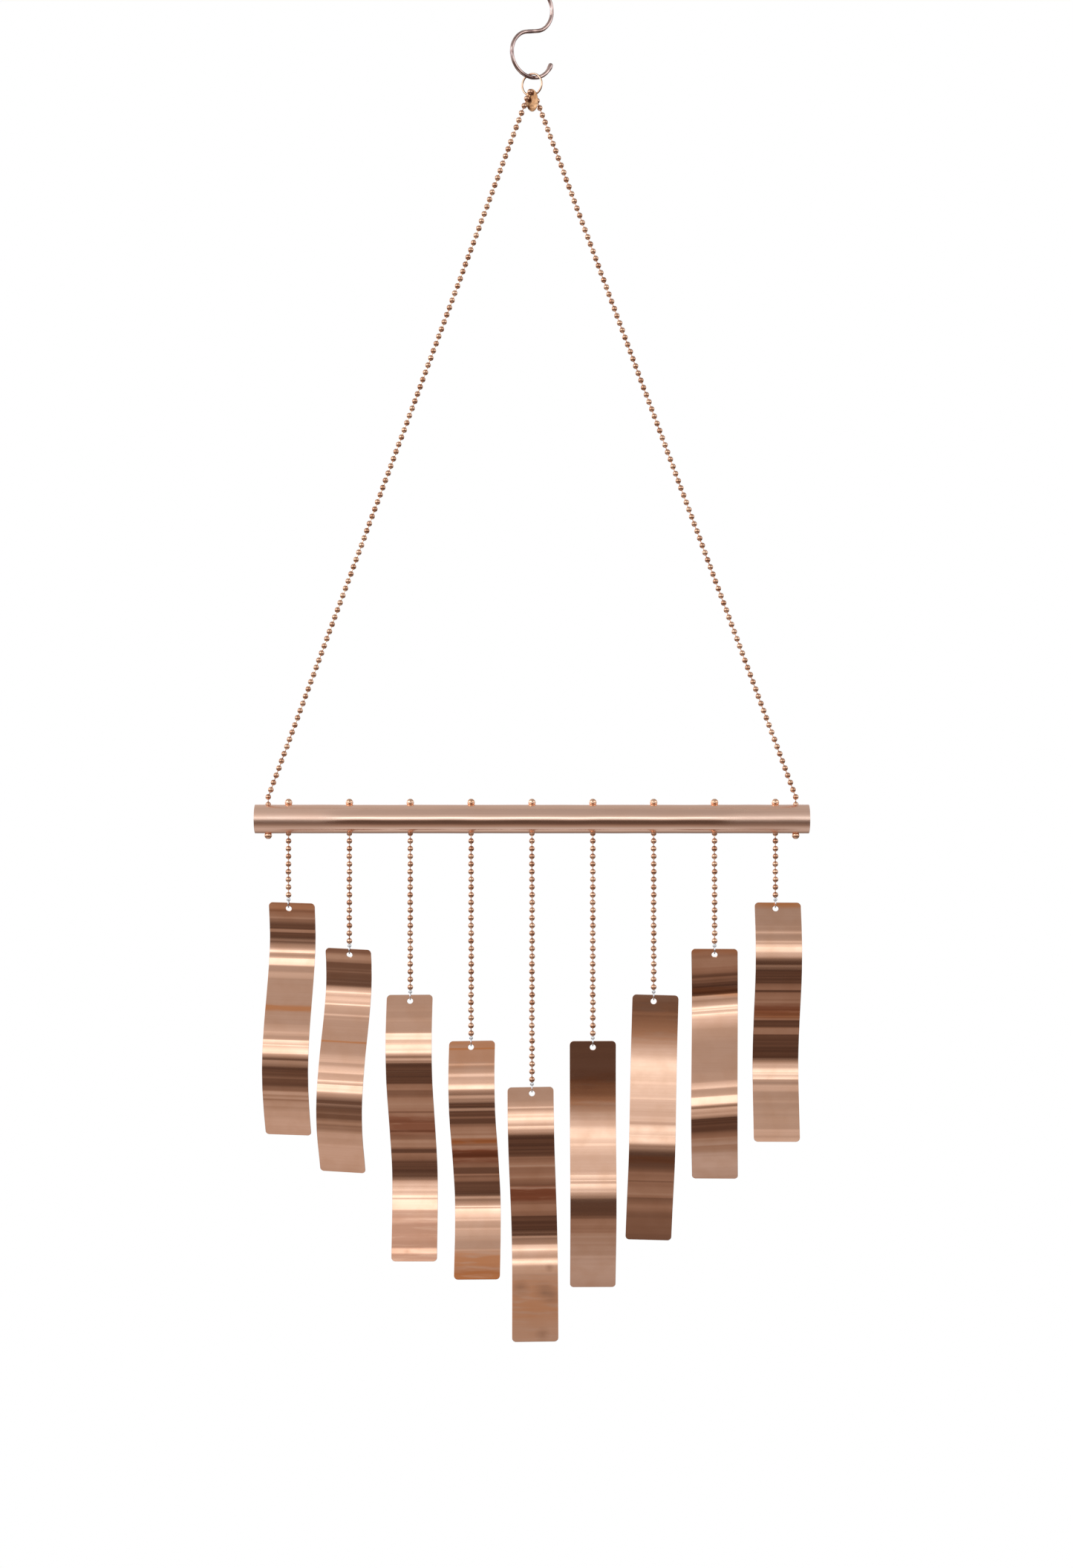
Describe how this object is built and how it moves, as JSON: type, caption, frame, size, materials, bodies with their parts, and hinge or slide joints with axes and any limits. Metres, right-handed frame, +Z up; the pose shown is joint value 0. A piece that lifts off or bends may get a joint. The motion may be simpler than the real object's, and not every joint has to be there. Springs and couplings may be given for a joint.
{
  "type": "wind chime",
  "caption": "Hanging wind chime: wavy copper strips on bead chains below a copper tube, carried by a chain over a ring and an S-shaped hook.",
  "frame": {"origin": "the saddle of the S-hook: the inside of the top of its upper bowl, where it rests on a rod or branch", "axes": "+Z up; +X along the tube to the right as seen from the front; -Y towards the front"},
  "size_m": [0.3048, 0.0337, 0.7463],
  "materials": {
    "strip_copper": "brushed copper sheet, lightly oxidised",
    "tube_copper": "satin copper pipe",
    "chain_copper": "polished copper plate",
    "hook_copper": "dull dark copper wire",
    "ring_copper": "polished light copper wire",
    "tag_copper": "hammered copper",
    "link_steel": "bright steel wire"
  },
  "bodies": {
    "s_hook": {"s_hook": "hook_copper"},
    "hanger_ring": {"hanger_ring": "ring_copper"},
    "hanger_chain": {"leg_chain_left": "chain_copper", "leg_chain_right": "chain_copper"},
    "oval_tag": {"oval_tag": "tag_copper"},
    "cross_tube": {"cross_tube": "tube_copper", "leg_stop_left": "chain_copper", "leg_stop_right": "chain_copper", "leg_tail_left": "chain_copper", "leg_tail_right": "chain_copper"},
    "head_1": {"stop_ball_1": "chain_copper", "chain_head_1": "chain_copper"},
    "drop_1": {"drop_chain_1": "chain_copper"},
    "link_1": {"link_ring_1": "link_steel"},
    "strip_1": {"strip_1": "strip_copper"},
    "head_2": {"stop_ball_2": "chain_copper", "chain_head_2": "chain_copper"},
    "drop_2": {"drop_chain_2": "chain_copper"},
    "link_2": {"link_ring_2": "link_steel"},
    "strip_2": {"strip_2": "strip_copper"},
    "head_3": {"stop_ball_3": "chain_copper", "chain_head_3": "chain_copper"},
    "drop_3": {"drop_chain_3": "chain_copper"},
    "link_3": {"link_ring_3": "link_steel"},
    "strip_3": {"strip_3": "strip_copper"},
    "head_4": {"stop_ball_4": "chain_copper", "chain_head_4": "chain_copper"},
    "drop_4": {"drop_chain_4": "chain_copper"},
    "link_4": {"link_ring_4": "link_steel"},
    "strip_4": {"strip_4": "strip_copper"},
    "head_5": {"stop_ball_5": "chain_copper", "chain_head_5": "chain_copper"},
    "drop_5": {"drop_chain_5": "chain_copper"},
    "link_5": {"link_ring_5": "link_steel"},
    "strip_5": {"strip_5": "strip_copper"},
    "head_6": {"stop_ball_6": "chain_copper", "chain_head_6": "chain_copper"},
    "drop_6": {"drop_chain_6": "chain_copper"},
    "link_6": {"link_ring_6": "link_steel"},
    "strip_6": {"strip_6": "strip_copper"},
    "head_7": {"stop_ball_7": "chain_copper", "chain_head_7": "chain_copper"},
    "drop_7": {"drop_chain_7": "chain_copper"},
    "link_7": {"link_ring_7": "link_steel"},
    "strip_7": {"strip_7": "strip_copper"},
    "head_8": {"stop_ball_8": "chain_copper", "chain_head_8": "chain_copper"},
    "drop_8": {"drop_chain_8": "chain_copper"},
    "link_8": {"link_ring_8": "link_steel"},
    "strip_8": {"strip_8": "strip_copper"},
    "head_9": {"stop_ball_9": "chain_copper", "chain_head_9": "chain_copper"},
    "drop_9": {"drop_chain_9": "chain_copper"},
    "link_9": {"link_ring_9": "link_steel"},
    "strip_9": {"strip_9": "strip_copper"}
  },
  "joints": [
    {"name": "ring_slide_round_hook", "type": "hinge", "parent": "s_hook", "child": "hanger_ring", "pos_m": [0, 0, -0.03693], "axis": [-0.5, 0.866, 0], "range_deg": [-20, 20]},
    {"name": "chain_swing", "type": "hinge", "parent": "hanger_ring", "child": "hanger_chain", "pos_m": [0, 0, -0.05948], "axis": [0.9063, -0.4226, 0], "range_deg": [-15, 15]},
    {"name": "tag_sway", "type": "hinge", "parent": "hanger_chain", "child": "oval_tag", "pos_m": [0, 0, -0.05813], "axis": [0.4226, 0.9063, 0], "range_deg": [-25, 25]},
    {"name": "tube_roll", "type": "hinge", "parent": "hanger_chain", "child": "cross_tube", "pos_m": [0, 0, -0.44769], "axis": [1, 0, 0], "range_deg": [-25, 25]},
    {"name": "side_swing_1", "type": "hinge", "parent": "cross_tube", "child": "head_1", "pos_m": [-0.134, 0, -0.44976], "axis": [0, 1, 0], "range_deg": [-0.8, 0.8]},
    {"name": "drop_swing_1", "type": "hinge", "parent": "head_1", "child": "drop_1", "pos_m": [-0.134, 0, -0.46771], "axis": [1, 0, 0], "range_deg": [-30, 30]},
    {"name": "link_swing_1", "type": "hinge", "parent": "drop_1", "child": "link_1", "pos_m": [-0.134, 0, -0.50258], "axis": [1, 0, 0], "range_deg": [-30, 30]},
    {"name": "strip_twist_1", "type": "hinge", "parent": "link_1", "child": "strip_1", "pos_m": [-0.134, 0, -0.50629], "axis": [0, 0, 1], "range_deg": [-15, 15]},
    {"name": "side_swing_2", "type": "hinge", "parent": "cross_tube", "child": "head_2", "pos_m": [-0.1005, 0, -0.44976], "axis": [0, 1, 0], "range_deg": [-0.8, 0.8]},
    {"name": "drop_swing_2", "type": "hinge", "parent": "head_2", "child": "drop_2", "pos_m": [-0.1005, 0, -0.46771], "axis": [1, 0, 0], "range_deg": [-30, 30]},
    {"name": "link_swing_2", "type": "hinge", "parent": "drop_2", "child": "link_2", "pos_m": [-0.1005, 0, -0.52798], "axis": [1, 0, 0], "range_deg": [-30, 30]},
    {"name": "strip_twist_2", "type": "hinge", "parent": "link_2", "child": "strip_2", "pos_m": [-0.1005, 0, -0.53169], "axis": [0, 0, 1], "range_deg": [-15, 15]},
    {"name": "side_swing_3", "type": "hinge", "parent": "cross_tube", "child": "head_3", "pos_m": [-0.067, 0, -0.44976], "axis": [0, 1, 0], "range_deg": [-0.8, 0.8]},
    {"name": "drop_swing_3", "type": "hinge", "parent": "head_3", "child": "drop_3", "pos_m": [-0.067, 0, -0.46771], "axis": [1, 0, 0], "range_deg": [-30, 30]},
    {"name": "link_swing_3", "type": "hinge", "parent": "drop_3", "child": "link_3", "pos_m": [-0.067, 0, -0.55337], "axis": [1, 0, 0], "range_deg": [-30, 30]},
    {"name": "strip_twist_3", "type": "hinge", "parent": "link_3", "child": "strip_3", "pos_m": [-0.067, 0, -0.55708], "axis": [0, 0, 1], "range_deg": [-15, 15]},
    {"name": "side_swing_4", "type": "hinge", "parent": "cross_tube", "child": "head_4", "pos_m": [-0.0335, 0, -0.44976], "axis": [0, 1, 0], "range_deg": [-0.8, 0.8]},
    {"name": "drop_swing_4", "type": "hinge", "parent": "head_4", "child": "drop_4", "pos_m": [-0.0335, 0, -0.46771], "axis": [1, 0, 0], "range_deg": [-30, 30]},
    {"name": "link_swing_4", "type": "hinge", "parent": "drop_4", "child": "link_4", "pos_m": [-0.0335, 0, -0.57877], "axis": [1, 0, 0], "range_deg": [-30, 30]},
    {"name": "strip_twist_4", "type": "hinge", "parent": "link_4", "child": "strip_4", "pos_m": [-0.0335, 0, -0.58248], "axis": [0, 0, 1], "range_deg": [-15, 15]},
    {"name": "side_swing_5", "type": "hinge", "parent": "cross_tube", "child": "head_5", "pos_m": [0, 0, -0.44976], "axis": [0, 1, 0], "range_deg": [-0.8, 0.8]},
    {"name": "drop_swing_5", "type": "hinge", "parent": "head_5", "child": "drop_5", "pos_m": [0, 0, -0.46771], "axis": [1, 0, 0], "range_deg": [-30, 30]},
    {"name": "link_swing_5", "type": "hinge", "parent": "drop_5", "child": "link_5", "pos_m": [0, 0, -0.60417], "axis": [1, 0, 0], "range_deg": [-30, 30]},
    {"name": "strip_twist_5", "type": "hinge", "parent": "link_5", "child": "strip_5", "pos_m": [0, 0, -0.60788], "axis": [0, 0, 1], "range_deg": [-15, 15]},
    {"name": "side_swing_6", "type": "hinge", "parent": "cross_tube", "child": "head_6", "pos_m": [0.0335, 0, -0.44976], "axis": [0, 1, 0], "range_deg": [-0.8, 0.8]},
    {"name": "drop_swing_6", "type": "hinge", "parent": "head_6", "child": "drop_6", "pos_m": [0.0335, 0, -0.46771], "axis": [1, 0, 0], "range_deg": [-30, 30]},
    {"name": "link_swing_6", "type": "hinge", "parent": "drop_6", "child": "link_6", "pos_m": [0.0335, 0, -0.57877], "axis": [1, 0, 0], "range_deg": [-30, 30]},
    {"name": "strip_twist_6", "type": "hinge", "parent": "link_6", "child": "strip_6", "pos_m": [0.0335, 0, -0.58248], "axis": [0, 0, 1], "range_deg": [-15, 15]},
    {"name": "side_swing_7", "type": "hinge", "parent": "cross_tube", "child": "head_7", "pos_m": [0.067, 0, -0.44976], "axis": [0, 1, 0], "range_deg": [-0.8, 0.8]},
    {"name": "drop_swing_7", "type": "hinge", "parent": "head_7", "child": "drop_7", "pos_m": [0.067, 0, -0.46771], "axis": [1, 0, 0], "range_deg": [-30, 30]},
    {"name": "link_swing_7", "type": "hinge", "parent": "drop_7", "child": "link_7", "pos_m": [0.067, 0, -0.55337], "axis": [1, 0, 0], "range_deg": [-30, 30]},
    {"name": "strip_twist_7", "type": "hinge", "parent": "link_7", "child": "strip_7", "pos_m": [0.067, 0, -0.55708], "axis": [0, 0, 1], "range_deg": [-15, 15]},
    {"name": "side_swing_8", "type": "hinge", "parent": "cross_tube", "child": "head_8", "pos_m": [0.1005, 0, -0.44976], "axis": [0, 1, 0], "range_deg": [-0.8, 0.8]},
    {"name": "drop_swing_8", "type": "hinge", "parent": "head_8", "child": "drop_8", "pos_m": [0.1005, 0, -0.46771], "axis": [1, 0, 0], "range_deg": [-30, 30]},
    {"name": "link_swing_8", "type": "hinge", "parent": "drop_8", "child": "link_8", "pos_m": [0.1005, 0, -0.52798], "axis": [1, 0, 0], "range_deg": [-30, 30]},
    {"name": "strip_twist_8", "type": "hinge", "parent": "link_8", "child": "strip_8", "pos_m": [0.1005, 0, -0.53169], "axis": [0, 0, 1], "range_deg": [-15, 15]},
    {"name": "side_swing_9", "type": "hinge", "parent": "cross_tube", "child": "head_9", "pos_m": [0.134, 0, -0.44976], "axis": [0, 1, 0], "range_deg": [-0.8, 0.8]},
    {"name": "drop_swing_9", "type": "hinge", "parent": "head_9", "child": "drop_9", "pos_m": [0.134, 0, -0.46771], "axis": [1, 0, 0], "range_deg": [-30, 30]},
    {"name": "link_swing_9", "type": "hinge", "parent": "drop_9", "child": "link_9", "pos_m": [0.134, 0, -0.50258], "axis": [1, 0, 0], "range_deg": [-30, 30]},
    {"name": "strip_twist_9", "type": "hinge", "parent": "link_9", "child": "strip_9", "pos_m": [0.134, 0, -0.50629], "axis": [0, 0, 1], "range_deg": [-15, 15]}
  ]
}
